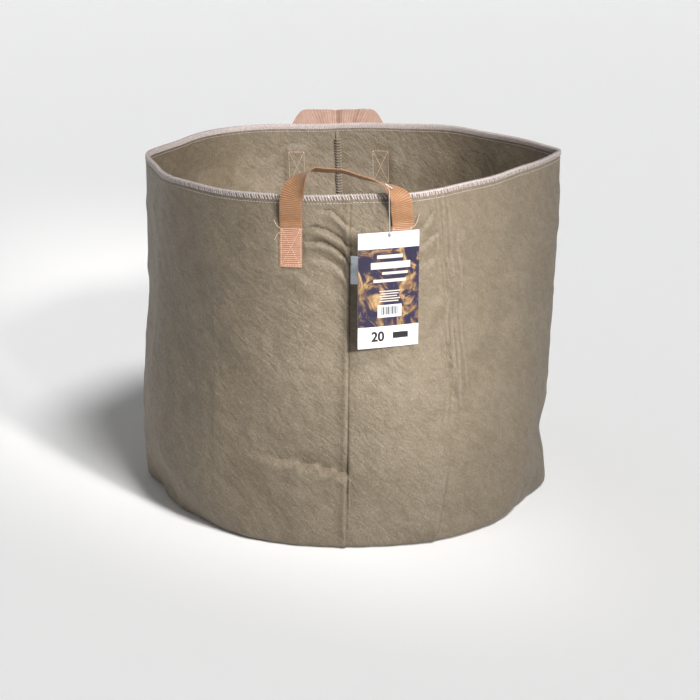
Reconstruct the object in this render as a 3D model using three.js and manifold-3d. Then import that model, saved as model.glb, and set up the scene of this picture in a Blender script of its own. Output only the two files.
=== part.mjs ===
// Fabric grow bag: a round felt pot with two webbing handles, a sewn-in side label
// and a card hang tag. Millimetres, +Z up, origin at the centre of the underside,
// -Y is the front, where the front seam and the tag are.
import * as THREE from 'three';
import Module from 'manifold-3d';
import { mergeVertices } from 'three/addons/utils/BufferGeometryUtils.js';

const wasm = await Module();
wasm.setup();

// Driving dimensions
const BAG_HEIGHT = 400;
const BASE_RADIUS = 250;
const FELT = 3;
const GAP = 0.3;
const SEAM_ALLOWANCE = 12;
const OVERLOCK_DEPTH = 6.5;
const OVERLOCK_THREAD = 1;
const NEEDLE_LINE_DROP = 8.5;
const STRAP_WIDTH = 25;
const STRAP_THICKNESS = 2;
// Distances along the wall from the front seam, and from the back seam, to each leg.
const FRONT_LEFT_LEG = 65;
const FRONT_RIGHT_LEG = 57;
const BACK_LEG = 57;
const STRAP_END_LENGTH = 45;
const STITCH_LINE_DROP = 34;
const STRAP_FOLD_ROOM = 3.5; // the sewn end stops this far below the fold line
const STITCH_BOX_MARGIN = 2.5;
const TAG_WIDTH = 71;
const TAG_HEIGHT = 129;
const TAG_CARD = 0.8;
const TAG_YAW = THREE.MathUtils.degToRad(20);
const TAG_HOLE_DROP = 4;
const TAG_HOLE_RADIUS = 1.8;
const PIN_RADIUS = 0.5;
const LABEL_HEIGHT = 31;
const LABEL_LENGTH = 38;
const LABEL_DROP = 67;
// The wall and the rings round it share these cells, so that their facets stay parallel.
const WALL_CELLS = 80;

// Mouth of the bag in plan, from the front seam to the back seam on each side.
// It is a soft lens: fuller at the front left, straighter at the front right,
// with a fold corner at each side.
const FRONT_SEAM = [5, -231];
const BACK_SEAM = [-13, 282];
const RIGHT_MOUTH = [
  FRONT_SEAM, [62, -226], [106, -189], [146, -138], [205, -55], [255, 35], [262, 60],
  [250, 105], [219, 164], [140, 252], [50, 280], BACK_SEAM,
];
const LEFT_MOUTH = [
  FRONT_SEAM, [-70, -226], [-130, -197], [-200, -122], [-233, -15], [-245, 56],
  [-232, 95], [-195, 182], [-150, 250], [-80, 277], BACK_SEAM,
];

const planCurve = (points) => new THREE.CatmullRomCurve3(
  points.map(([x, y]) => new THREE.Vector3(x, y, 0)), false, 'centripetal');
const rightMouth = planCurve(RIGHT_MOUTH);
const leftMouth = planCurve(LEFT_MOUTH);
const MOUTH_GIRTH = rightMouth.getLength() + leftMouth.getLength();
const turnsFor = (length) => length / MOUTH_GIRTH;

// Outer face in plan at one height. turn goes once round from the front seam, +X first.
function outline(turn, z) {
  const t = turn - Math.floor(turn);
  const mouth = t <= 0.5 ? rightMouth.getPointAt(2 * t) : leftMouth.getPointAt(2 - 2 * t);
  const angle = 2 * Math.PI * t;
  const base = new THREE.Vector3(
    BASE_RADIUS * Math.sin(angle), -BASE_RADIUS * Math.cos(angle), 0);
  const straightBand = 12;
  const rise = THREE.MathUtils.clamp((z - straightBand) / (BAG_HEIGHT - straightBand), 0, 1);
  return base.lerp(mouth, rise);
}

// A point on the wall, moved out from the outer face by offset (inwards when negative).
function wallPoint(turn, z, offset) {
  const step = 0.002;
  const along = outline(turn + step, z).sub(outline(turn - step, z)).normalize();
  const point = outline(turn, z);
  return new THREE.Vector3(point.x + along.y * offset, point.y - along.x * offset, z);
}

// Moves every vertex of a geometry with place(x, y, z) -> Vector3.
function reshape(geometry, place) {
  const spots = geometry.attributes.position;
  for (let i = 0; i < spots.count; i += 1) {
    const moved = place(spots.getX(i), spots.getY(i), spots.getZ(i));
    spots.setXYZ(i, moved.x, moved.y, moved.z);
  }
  geometry.computeVertexNormals();
  return geometry;
}

// A box of unit size, 0 to 1 each way, cut into cells so that it can be bent.
function unitSlab(cellsAlong, cellsAcross) {
  const slab = new THREE.BoxGeometry(1, 1, 1, cellsAlong, cellsAcross, 1);
  return slab.translate(0.5, 0.5, 0.5);
}

// Half of the wall, with its two seam allowances turned into the bag.
function wallPanel(firstTurn, lastTurn) {
  const wallCells = WALL_CELLS / 2;
  const seamShy = turnsFor(GAP / 2);
  const feltTurn = turnsFor(FELT);
  const trimmed = 0.2;
  const levels = [0, 11, 17, 60, 110, 165, 220, 275, 330, BAG_HEIGHT - 14, BAG_HEIGHT - 8,
    BAG_HEIGHT];
  const cells = wallCells + 2;
  return reshape(unitSlab(cells, levels.length - 1), (x, y, z) => {
    const column = Math.round(x * cells);
    const height = levels[Math.round(y * (levels.length - 1))];
    const outside = z > 0.5;
    const inStep = THREE.MathUtils.clamp(column - 1, 0, wallCells) / wallCells;
    const shy = outside ? seamShy : seamShy + feltTurn;
    const first = firstTurn + shy;
    const last = lastTurn - shy;
    const plain = THREE.MathUtils.lerp(firstTurn, lastTurn, inStep);
    const turn = THREE.MathUtils.clamp(plain, first, last);
    const isTip = column === 0 || column === cells;
    const deep = height > levels[1] && height < levels[levels.length - 2];
    const allowance = deep ? SEAM_ALLOWANCE : trimmed;
    if (isTip) return wallPoint(turn, height, -FELT - allowance);
    return wallPoint(turn, height, outside ? 0 : -FELT);
  });
}

// A thin plate that lies along the wall: centred on a turn, between two heights.
function wallPatch(centreTurn, width, bottom, top, offset, thickness) {
  return reshape(unitSlab(8, 4), (x, y, z) => wallPoint(
    centreTurn + turnsFor((x - 0.5) * width),
    THREE.MathUtils.lerp(bottom, top, y),
    offset + z * thickness));
}

// A closed section carried once round the bag. The section's x is the distance out
// from the outer face and its y the height.
function wallRing(section) {
  const reach = 100;
  const loop = [...section, section[0]].map(([x, y]) => new THREE.Vector2(x + reach, y));
  return reshape(new THREE.LatheGeometry(loop, WALL_CELLS), (x, y, z) => {
    const turn = (Math.atan2(x, z) / (2 * Math.PI) + 1) % 1;
    return wallPoint(turn, y, Math.hypot(x, z) - reach);
  });
}

function basePanel() {
  const radius = BASE_RADIUS - FELT - 2 * GAP;
  const profile = [[0, 0], [radius, 0], [radius, FELT], [0, FELT]];
  const disc = new THREE.LatheGeometry(profile.map(([x, y]) => new THREE.Vector2(x, y)),
    WALL_CELLS);
  return disc.rotateX(Math.PI / 2);
}

function baseOverlock() {
  const outer = -FELT - 2 * GAP;
  const inner = outer - 3;
  const bottom = FELT + GAP;
  const top = bottom + OVERLOCK_DEPTH;
  return wallRing([[outer, bottom], [outer, top], [inner, top], [inner, bottom]]);
}

// Thread loops over the top edge: an upside-down U round the mouth.
function rimOverlock() {
  const top = BAG_HEIGHT + GAP;
  const low = BAG_HEIGHT - OVERLOCK_DEPTH;
  const outer = GAP;
  const inner = -FELT - 2 * GAP;
  return wallRing([
    [outer, low], [outer + OVERLOCK_THREAD, low], [outer + OVERLOCK_THREAD, top],
    [(outer + inner) / 2, top + OVERLOCK_THREAD], [inner - OVERLOCK_THREAD, top],
    [inner - OVERLOCK_THREAD, low], [inner, low], [inner, top], [outer, top],
  ]);
}

function rimNeedleLine() {
  const height = BAG_HEIGHT - NEEDLE_LINE_DROP;
  const thread = 0.7;
  return wallRing([
    [GAP, height - thread], [GAP + thread, height - thread], [GAP + thread, height],
    [GAP, height],
  ]);
}

// Binding thread over the two allowance edges of a vertical seam.
function seamOverlock(centreTurn) {
  const offset = -FELT - SEAM_ALLOWANCE - GAP - OVERLOCK_THREAD;
  const width = 2 * FELT + 1;
  const margin = 18;
  return wallPatch(
    centreTurn, width, margin, BAG_HEIGHT - margin, offset, OVERLOCK_THREAD);
}

const stitchLine = BAG_HEIGHT - STITCH_LINE_DROP;
const loopOffset = 2 * GAP + STRAP_THICKNESS / 2;
const strapEndTop = stitchLine - STRAP_FOLD_ROOM;

// The stitched end of a strap, flat on the wall below the stitch line.
function strapEnd(centreTurn) {
  const bottom = strapEndTop - STRAP_END_LENGTH;
  return wallPatch(centreTurn, STRAP_WIDTH, bottom, strapEndTop, GAP, STRAP_THICKNESS);
}

// A box of stitches with a cross in it, one open frame of thread.
function stitchBox(centreTurn) {
  const thread = 1.2;
  const halfWidth = STRAP_WIDTH / 2 - STITCH_BOX_MARGIN;
  const halfHeight = STRAP_END_LENGTH / 2 - STITCH_BOX_MARGIN;
  const frame = new THREE.Shape([
    new THREE.Vector2(-halfWidth, -halfHeight), new THREE.Vector2(halfWidth, -halfHeight),
    new THREE.Vector2(halfWidth, halfHeight), new THREE.Vector2(-halfWidth, halfHeight),
  ]);
  const inWidth = halfWidth - thread;
  const inHeight = halfHeight - thread;
  for (const side of [-1, 1]) {
    frame.holes.push(new THREE.Path([
      new THREE.Vector2(side * inWidth, inHeight - 2 * thread),
      new THREE.Vector2(side * inWidth, -inHeight + 2 * thread),
      new THREE.Vector2(side * thread, 0),
    ]));
    frame.holes.push(new THREE.Path([
      new THREE.Vector2(-inWidth + thread, side * inHeight),
      new THREE.Vector2(inWidth - thread, side * inHeight),
      new THREE.Vector2(0, side * 2 * thread),
    ]));
  }
  const plate = new THREE.ExtrudeGeometry(frame, { depth: 0.5, bevelEnabled: false });
  const centreHeight = strapEndTop - STRAP_END_LENGTH / 2;
  const offset = STRAP_THICKNESS + 4 * GAP;
  return reshape(plate, (x, y, z) => wallPoint(
    centreTurn + turnsFor(x), centreHeight + y, offset + z));
}

// A strap bent along a curve. across(t) is the direction of its width at t.
function ribbon(curve, across, cells) {
  return reshape(unitSlab(cells, 4), (x, y, z) => {
    const along = curve.getTangentAt(x);
    const wide = across(x);
    wide.addScaledVector(along, -wide.dot(along)).normalize();
    const face = new THREE.Vector3().crossVectors(along, wide);
    return curve.getPointAt(x)
      .addScaledVector(wide, (y - 0.5) * STRAP_WIDTH)
      .addScaledVector(face, (z - 0.5) * STRAP_THICKNESS);
  });
}

const strapFeet = {
  front_handle_left: turnsFor(-FRONT_LEFT_LEG),
  front_handle_right: turnsFor(FRONT_RIGHT_LEG),
  back_handle_right: 0.5 - turnsFor(BACK_LEG),
  back_handle_left: 0.5 + turnsFor(BACK_LEG),
};

// Compass turn of the wall at a strap's foot: 0 where the wall runs along +X.
function wallHeading(turn) {
  const ahead = outline(turn + turnsFor(STRAP_WIDTH / 2), stitchLine);
  const behind = outline(turn - turnsFor(STRAP_WIDTH / 2), stitchLine);
  return Math.atan2(behind.y - ahead.y, ahead.x - behind.x);
}

// The front handle stands up: each leg twists a quarter turn into the crown, and the
// crown slopes down to the right, where the tag hangs.
function frontHandleLoop() {
  const left = wallPoint(strapFeet.front_handle_left, stitchLine, loopOffset);
  const right = wallPoint(strapFeet.front_handle_right, stitchLine, loopOffset);
  const crown = [
    [-60, -4, 19], [-59, -6, 34], [-55, -7, 45], [-45.5, -6, 57], [-35.5, -5, 63.5],
    [-22, -4, 62.5], [-4, -3, 61], [14, -3, 55.5], [35, -4, 49], [47, -6, 43],
    [58, -8, 32], [60.5, -5, 18],
  ];
  const points = crown.map(([x, y, z]) => {
    const share = (x - left.x) / (right.x - left.x);
    return new THREE.Vector3(
      x, THREE.MathUtils.lerp(left.y, right.y, share) + y, stitchLine + z);
  });
  const upright = new THREE.Vector3(0, 0, 5);
  const curve = new THREE.CatmullRomCurve3([
    left, left.clone().add(upright), ...points, right.clone().add(upright), right,
  ], false, 'centripetal');
  const tiltLeft = THREE.MathUtils.degToRad(24);
  const tiltRight = THREE.MathUtils.degToRad(13);
  const twistLeft = wallHeading(strapFeet.front_handle_left);
  const twistCrown = Math.PI / 2;
  const twistRight = Math.PI + wallHeading(strapFeet.front_handle_right);
  return ribbon(curve, (t) => {
    const rise = THREE.MathUtils.smoothstep(t, 0.14, 0.42);
    const fall = THREE.MathUtils.smoothstep(t, 0.62, 0.88);
    const twist = twistLeft + (twistCrown - twistLeft) * rise
      + (twistRight - twistCrown) * fall;
    const tilt = THREE.MathUtils.lerp(tiltLeft, tiltRight, t);
    return new THREE.Vector3(
      Math.cos(twist), -Math.sin(twist) * Math.cos(tilt), Math.sin(twist) * Math.sin(tilt));
  }, 48);
}

// The back handle lies in one plane that leans out behind the bag. Its legs lean in and
// fold over into the crown, so its outer and inner edges are drawn one by one, each as
// [how far in from the edge's foot, height in the plane].
function backHandleLoop() {
  const clear = loopOffset + 3 * GAP;
  const left = wallPoint(strapFeet.back_handle_left, stitchLine, clear);
  const right = wallPoint(strapFeet.back_handle_right, stitchLine, clear);
  const half = left.distanceTo(right) / 2;
  const outerRise = [[0, 0], [0, 4], [2, 18], [8.5, 35], [19.5, 51.5], [25.5, 54], [49.5, 54]];
  const innerRise = [[0, 0], [0, 4], [1.5, 14], [5, 23], [9.5, 28], [14.5, 29], [29.5, 29]];
  const lean = THREE.MathUtils.degToRad(20);
  const edge = (rise, footHalf) => {
    const rising = rise.map(([inset, h]) => [inset - footHalf, h]);
    const falling = rising.map(([x, h]) => [-x, h]).reverse();
    const path = [...rising, [0, rise.at(-1)[1]], ...falling];
    return new THREE.CatmullRomCurve3(path.map(([x, h]) => new THREE.Vector3(
      x, h * Math.sin(lean), h * Math.cos(lean))), false, 'centripetal');
  };
  const outer = edge(outerRise, half + STRAP_WIDTH / 2);
  const inner = edge(innerRise, half - STRAP_WIDTH / 2);
  const face = new THREE.Vector3(0, Math.cos(lean), -Math.sin(lean));
  const heading = Math.atan2(right.y - left.y, right.x - left.x);
  const middle = left.lerp(right, 0.5);
  return reshape(unitSlab(56, 4), (x, y, z) => outer.getPoint(x).lerp(inner.getPoint(x), y)
    .addScaledVector(face, (z - 0.5) * STRAP_THICKNESS))
    .rotateZ(heading).translate(middle.x, middle.y, middle.z);
}

// Where the tag's pin hangs from the strap, and where it goes through the card.
const PIN_TOP = new THREE.Vector3(46.5, -249.2, BAG_HEIGHT + 8);
const TAG_HOLE = new THREE.Vector3(46.5, -245, BAG_HEIGHT - 41);

function solidOf(geometry) {
  const bare = geometry.clone();
  for (const name of Object.keys(bare.attributes)) {
    if (name !== 'position') bare.deleteAttribute(name);
  }
  const merged = mergeVertices(bare, 1e-4);
  return new wasm.Manifold(new wasm.Mesh({
    numProp: 3,
    vertProperties: new Float32Array(merged.attributes.position.array),
    triVerts: new Uint32Array(merged.index.array),
  }));
}

function geometryOf(solid) {
  const mesh = solid.getMesh();
  const geometry = new THREE.BufferGeometry();
  geometry.setAttribute('position', new THREE.BufferAttribute(mesh.vertProperties, 3));
  geometry.setIndex(new THREE.BufferAttribute(mesh.triVerts, 1));
  geometry.computeVertexNormals();
  return geometry;
}

// The moulded pin: a cross-bar on the strap, a thin stem, and a stop behind the card.
function tagFastener() {
  const stemSection = new THREE.Shape().absarc(0, 0, PIN_RADIUS, 0, 2 * Math.PI);
  const behind = new THREE.Vector3(
    TAG_HOLE.x - Math.sin(TAG_YAW) * 1.6, TAG_HOLE.y + Math.cos(TAG_YAW) * 1.6, TAG_HOLE.z);
  const stemCurve = new THREE.CatmullRomCurve3([
    PIN_TOP,
    new THREE.Vector3(PIN_TOP.x, PIN_TOP.y, PIN_TOP.z - 12),
    new THREE.Vector3(TAG_HOLE.x + 0.6, TAG_HOLE.y - 2.5, TAG_HOLE.z + 14),
    new THREE.Vector3(TAG_HOLE.x + 0.8, TAG_HOLE.y - 2.2, TAG_HOLE.z + 3),
    behind,
  ], false, 'centripetal');
  const stem = new THREE.ExtrudeGeometry(
    stemSection, { steps: 24, curveSegments: 8, extrudePath: stemCurve });
  const crossBar = new THREE.CapsuleGeometry(0.9, 6, 4, 10);
  crossBar.rotateZ(Math.PI / 2).translate(PIN_TOP.x, PIN_TOP.y, PIN_TOP.z);
  const stop = new THREE.CylinderGeometry(1.5, 1.5, 0.8, 12);
  stop.rotateZ(TAG_YAW).translate(behind.x, behind.y, behind.z);
  return geometryOf(solidOf(stem).add(solidOf(crossBar)).add(solidOf(stop)));
}

// The card, hung by the hole in its top edge and turned to lie along the wall.
function hangTag() {
  const half = TAG_WIDTH / 2;
  const corner = 2;
  const top = TAG_HOLE_DROP;
  const bottom = top - TAG_HEIGHT;
  const card = new THREE.Shape();
  card.moveTo(-half + corner, bottom);
  card.lineTo(half - corner, bottom);
  card.quadraticCurveTo(half, bottom, half, bottom + corner);
  card.lineTo(half, top - corner);
  card.quadraticCurveTo(half, top, half - corner, top);
  card.lineTo(-half + corner, top);
  card.quadraticCurveTo(-half, top, -half, top - corner);
  card.lineTo(-half, bottom + corner);
  card.quadraticCurveTo(-half, bottom, -half + corner, bottom);
  const hole = new THREE.Path();
  hole.absarc(0, 0, TAG_HOLE_RADIUS, 0, 2 * Math.PI, true);
  card.holes.push(hole);
  const sheet = new THREE.ExtrudeGeometry(
    card, { depth: TAG_CARD, bevelEnabled: false, curveSegments: 6 });
  sheet.translate(0, 0, -TAG_CARD / 2).rotateX(Math.PI / 2).rotateZ(TAG_YAW);
  return sheet.translate(TAG_HOLE.x, TAG_HOLE.y, TAG_HOLE.z);
}

// Folded tape caught in the front seam and lying on the right panel.
function sideLabel() {
  const top = BAG_HEIGHT - LABEL_DROP;
  const centre = turnsFor(1 + LABEL_LENGTH / 2);
  return wallPatch(centre, LABEL_LENGTH, top - LABEL_HEIGHT, top, 0.5, 0.9);
}

const felt = () => new THREE.MeshStandardMaterial(
  { color: 0x9d8e72, roughness: 0.95, metalness: 0 });
const webbing = () => new THREE.MeshStandardMaterial(
  { color: 0xd9a57f, roughness: 0.75, metalness: 0 });
const thread = () => new THREE.MeshStandardMaterial(
  { color: 0xdad0d2, roughness: 0.7, metalness: 0 });
const card = () => new THREE.MeshStandardMaterial(
  { color: 0xf2f2f4, roughness: 0.45, metalness: 0 });
const tape = () => new THREE.MeshStandardMaterial(
  { color: 0xdce6f0, roughness: 0.7, metalness: 0 });
const nylon = () => new THREE.MeshStandardMaterial(
  { color: 0xeef0f2, roughness: 0.35, metalness: 0 });

const bag = new THREE.Group();

function addPart(name, geometry, material) {
  const mesh = new THREE.Mesh(geometry, material);
  mesh.name = name;
  bag.add(mesh);
}

addPart('wall_panel_right', wallPanel(0, 0.5), felt());
addPart('wall_panel_left', wallPanel(0.5, 1), felt());
addPart('base_panel', basePanel(), felt());
addPart('base_overlock', baseOverlock(), thread());
addPart('rim_overlock', rimOverlock(), thread());
addPart('rim_needle_line', rimNeedleLine(), thread());
addPart('front_seam_overlock', seamOverlock(0), thread());
addPart('back_seam_overlock', seamOverlock(0.5), thread());

for (const [name, turn] of Object.entries(strapFeet)) {
  addPart(`${name}_end`, strapEnd(turn), webbing());
  addPart(`${name}_stitching`, stitchBox(turn), thread());
}
addPart('front_handle_loop', frontHandleLoop(), webbing());
addPart('back_handle_loop', backHandleLoop(), webbing());
addPart('side_label', sideLabel(), tape());
addPart('tag_fastener', tagFastener(), nylon());
addPart('hang_tag', hangTag(), card());

export default bag;
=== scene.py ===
import bpy
import math
import numpy as np
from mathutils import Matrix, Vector, noise


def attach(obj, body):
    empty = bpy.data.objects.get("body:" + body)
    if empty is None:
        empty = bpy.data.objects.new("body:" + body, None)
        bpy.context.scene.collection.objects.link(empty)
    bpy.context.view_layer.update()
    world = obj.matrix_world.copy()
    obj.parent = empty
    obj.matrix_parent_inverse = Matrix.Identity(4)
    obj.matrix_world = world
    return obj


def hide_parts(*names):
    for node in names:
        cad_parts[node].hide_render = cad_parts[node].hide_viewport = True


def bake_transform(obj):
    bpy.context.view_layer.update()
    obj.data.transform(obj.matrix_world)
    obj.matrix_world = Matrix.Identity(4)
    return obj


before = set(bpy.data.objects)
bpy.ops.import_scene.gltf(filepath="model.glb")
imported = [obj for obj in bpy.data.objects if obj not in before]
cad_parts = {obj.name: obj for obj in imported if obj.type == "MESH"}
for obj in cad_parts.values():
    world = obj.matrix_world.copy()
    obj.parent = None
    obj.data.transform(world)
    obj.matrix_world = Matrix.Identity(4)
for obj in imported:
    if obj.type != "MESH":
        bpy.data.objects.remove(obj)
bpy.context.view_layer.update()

mm = 0.001

# the bag's own shape, in metres: what the felt, straps and threads are all laid out on
bag = {
    "height": 400 * mm,
    "baseRadius": 250 * mm,
    "felt": 3 * mm,
    "straightBand": 12 * mm,      # the lowest part follows the base circle
    "seamAllowance": 12 * mm,
    "allowanceShown": 3.5 * mm,   # how far the pressed allowances stand up inside
    "seamBend": 3 * mm,           # radius with which the felt turns into a seam
    "cell": 3.3 * mm,             # usual cell size round the felt sheets
    "pleatCell": 1.7 * mm,
    "wrinkleCell": 1.3 * mm,
    "bottomRoll": 7 * mm,         # radius with which the wall turns under
    "flatUnder": 2 * mm,          # flat strip from there to the raw edge
    "edgeTurn": 2.5 * mm,         # radius with which the raw edge turns up inside
}
# plan of the mouth from the front seam to the back seam, in millimetres
frontSeam = (5, -231)
backSeam = (-13, 282)
rightMouth = [frontSeam, (62, -226), (106, -189), (146, -138), (205, -55), (255, 35), (262, 60),
              (250, 105), (219, 164), (140, 252), (50, 280), backSeam]
leftMouth = [frontSeam, (-70, -226), (-130, -197), (-200, -122), (-233, -15), (-245, 56),
             (-232, 95), (-195, 182), (-150, 250), (-80, 277), backSeam]


def deselectAll():
    if bpy.context.object and bpy.context.object.mode != 'OBJECT':
        bpy.ops.object.mode_set(mode='OBJECT')
    bpy.ops.object.select_all(action='DESELECT')


def makeActive(piece):
    deselectAll()
    piece.select_set(True)
    bpy.context.view_layer.objects.active = piece


def applyModifiers(piece):
    makeActive(piece)
    for modifier in list(piece.modifiers):
        bpy.ops.object.modifier_apply(modifier=modifier.name)


def smooth(piece, degrees=40):
    makeActive(piece)
    bpy.ops.object.shade_smooth_by_angle(angle=math.radians(degrees))


def ease(x, start, end):
    t = np.clip((x - start) / (end - start), 0, 1)
    return t * t * (3 - 2 * t)


def hill(x, width):
    return np.exp(-(x / width) ** 2)


def splineThrough(points, perSpan=60):
    # a centripetal curve through the points, with the distance run at each step
    p = np.array(points, float)
    p = np.vstack([2 * p[0] - p[1], p, 2 * p[-1] - p[-2]])
    parts = []
    for i in range(1, len(p) - 2):
        p0, p1, p2, p3 = p[i - 1:i + 3]
        d0, d1, d2 = [np.linalg.norm(b - a) ** 0.5 for a, b in ((p0, p1), (p1, p2), (p2, p3))]
        t1 = ((p1 - p0) / d0 - (p2 - p0) / (d0 + d1) + (p2 - p1) / d1) * d1
        t2 = ((p2 - p1) / d1 - (p3 - p1) / (d1 + d2) + (p3 - p2) / d2) * d1
        t = np.linspace(0, 1, perSpan, endpoint=False)[:, None]
        cubic = (2 * p1 - 2 * p2 + t1 + t2) * t ** 3
        square = (3 * p2 - 3 * p1 - 2 * t1 - t2) * t ** 2
        parts.append(cubic + square + t1 * t + p1)
    line = np.vstack(parts + [p[-2][None]])
    steps = np.linalg.norm(np.diff(line, axis=0), axis=1)
    return line, np.r_[0, np.cumsum(steps)]


def at(curve, share):
    line, run = curve
    spot = np.asarray(share) * run[-1]
    return np.stack([np.interp(spot, run, line[:, k]) for k in range(line.shape[1])], axis=-1)


rightCurve = splineThrough(np.array(rightMouth) * mm)
leftCurve = splineThrough(np.array(leftMouth) * mm)
girth = rightCurve[1][-1] + leftCurve[1][-1]


def outline(turn, z):
    turn = np.mod(turn, 1)
    right = (turn <= 0.5)[..., None]
    mouth = np.where(right, at(rightCurve, np.clip(2 * turn, 0, 1)),
                     at(leftCurve, np.clip(2 - 2 * turn, 0, 1)))
    angle = 2 * np.pi * turn
    base = bag["baseRadius"] * np.stack([np.sin(angle), -np.cos(angle)], axis=-1)
    rise = np.clip((z - bag["straightBand"]) / (bag["height"] - bag["straightBand"]), 0, 1)
    return base + (mouth - base) * rise[..., None]


def wallPoints(run, z, out):
    # run is the distance round the wall from the front seam, out the distance off its face
    run, z, out = np.broadcast_arrays(np.asarray(run, float), z, out)
    turn = run / girth
    step = 0.002
    spot = outline(turn, z)
    along = outline(turn + step, z) - outline(turn - step, z)
    along /= np.linalg.norm(along, axis=-1, keepdims=True)
    x = spot[..., 0] + along[..., 1] * out
    y = spot[..., 1] - along[..., 0] * out
    return np.stack([x, y, z], axis=-1)


# the handles' webbing, and where each end is sewn on: its run round the wall
handles = {
    "stitchLine": bag["height"] - 34 * mm,
    "width": 25 * mm,
    "thick": 2 * mm,
    "endLength": 45 * mm,
    "endOut": 1.25 * mm,          # from the felt to the middle of a sewn end
    "feet": {"front_handle_left": -65 * mm, "front_handle_right": 57 * mm,
             "back_handle_right": girth / 2 - 57 * mm, "back_handle_left": 57 * mm - girth / 2},
}
# how the felt stands off its smooth shape; runs and heights in its rows are in millimetres
relief = {
    "grid": (533, 135),           # spots round and up at which the three sizes of wave are worked out
    "slack": 5.0 * mm, "slackSize": 160 * mm,       # slow waves of the slack felt
    "ripple": 1.7 * mm, "rippleSize": 52 * mm,
    "crumple": 0.7 * mm, "crumpleSize": 17 * mm,
    # rows of (run, height): pleats pulled toward the front seam, as (depth, width)
    "pleats": [
        ([(-50, 364), (-38, 366), (-25, 362), (-9, 352), (-2, 343)], 3.6, 3.4),
        ([(-46, 349), (-34, 351), (-20, 345), (-5, 333), (-1, 322)], 3.4, 3.2),
        ([(-30, 384), (-20, 383), (-10, 374), (-2, 366)], 2.4, 3.2),
        ([(-34, 330), (-20, 327), (-9, 318), (-2, 306)], 1.6, 3.6),
        ([(74, 352), (86, 362), (100, 377)], 1.6, 4.0),
        ([(74, 338), (90, 343), (108, 353)], 1.5, 4.0),
        ([(74, 322), (90, 320), (106, 326)], 1.2, 4.0),
    ],
    # where the lower wall is tucked under: (run, height of the crease)
    "tuckLine": [(-797, 25), (-620, 30), (-480, 12), (-400, 4), (-345, 50), (-280, 68), (-207, 43),
                 (-167, 22), (-116, 4), (-60, 0), (90, 0), (154, 5), (202, 14), (265, 38),
                 (315, 32), (365, 2), (480, 6), (620, 34), (797, 25)],
    "tuckSlope": 0.38, "tuckSoftness": 1.6,
    # vertical crease down the left panel: (height, run)
    "creaseLine": [(20, -165), (160, -164), (300, -163)],
    # fine wrinkles from the mouth down the right panel: their line (height, run), each (shift, size)
    "wrinkleLine": [(120, 126), (160, 131), (275, 127), (388, 110)],
    "wrinkles": [(-8, 1.2), (-1, 2.1), (6, 2.0), (13, 1.5), (24, 0.8)],
    # folded facet below them: (height, run) of its sharp right edge and of its soft left one
    "facetRight": [(5, 101), (30, 107), (95, 120)],
    "facetLeft": [(5, 62), (30, 80), (95, 118)],
    "facetOut": 9.0, "besideFacetIn": 3.5,
    # step from the seam across the lower left panel: (run, height)
    "stepLine": [(-150, 105), (-77, 95), (-42, 91), (-1, 83)],
    "bulgeBelow": 4.5, "dentAbove": 8.5,
    # hollows in the right and the left side: (depth, height, size)
    "rightHollows": [(8.0, 66, 27), (4.5, 130, 70), (4.0, 225, 85)],
    "leftHollows": [(5.5, 232, 85)],
}


def makeNoiseGrid():
    around, upward = relief["grid"]
    runs = np.linspace(-girth / 2, girth / 2, around)
    heights = np.linspace(0, bag["height"], upward)
    spots = wallPoints(runs[:, None], heights[None, :], 0.0)
    grid = np.zeros(spots.shape[:2])
    layers = (("slack", 3.1), ("ripple", 11.7), ("crumple", 23.9))
    for i in range(spots.shape[0]):
        for j in range(spots.shape[1]):
            spot = Vector(spots[i, j])
            for name, shift in layers:
                where = spot / relief[name + "Size"] + Vector((shift, 0, shift))
                grid[i, j] += relief[name] * noise.noise(where) * 1.6
    return runs, heights, grid


noiseRuns, noiseHeights, noiseGrid = makeNoiseGrid()


def feltNoise(run, z):
    i = np.clip((run - noiseRuns[0]) / (noiseRuns[1] - noiseRuns[0]), 0, len(noiseRuns) - 1.001)
    j = np.clip(z / noiseHeights[1], 0, len(noiseHeights) - 1.001)
    i0, j0 = i.astype(int), j.astype(int)
    fi, fj = i - i0, j - j0
    near = noiseGrid[i0, j0] * (1 - fj) + noiseGrid[i0, j0 + 1] * fj
    far = noiseGrid[i0 + 1, j0] * (1 - fj) + noiseGrid[i0 + 1, j0 + 1] * fj
    return near * (1 - fi) + far * fi


def follow(rows, x):
    first, second = np.array(rows, float).T
    return np.interp(x, first, second)


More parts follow.
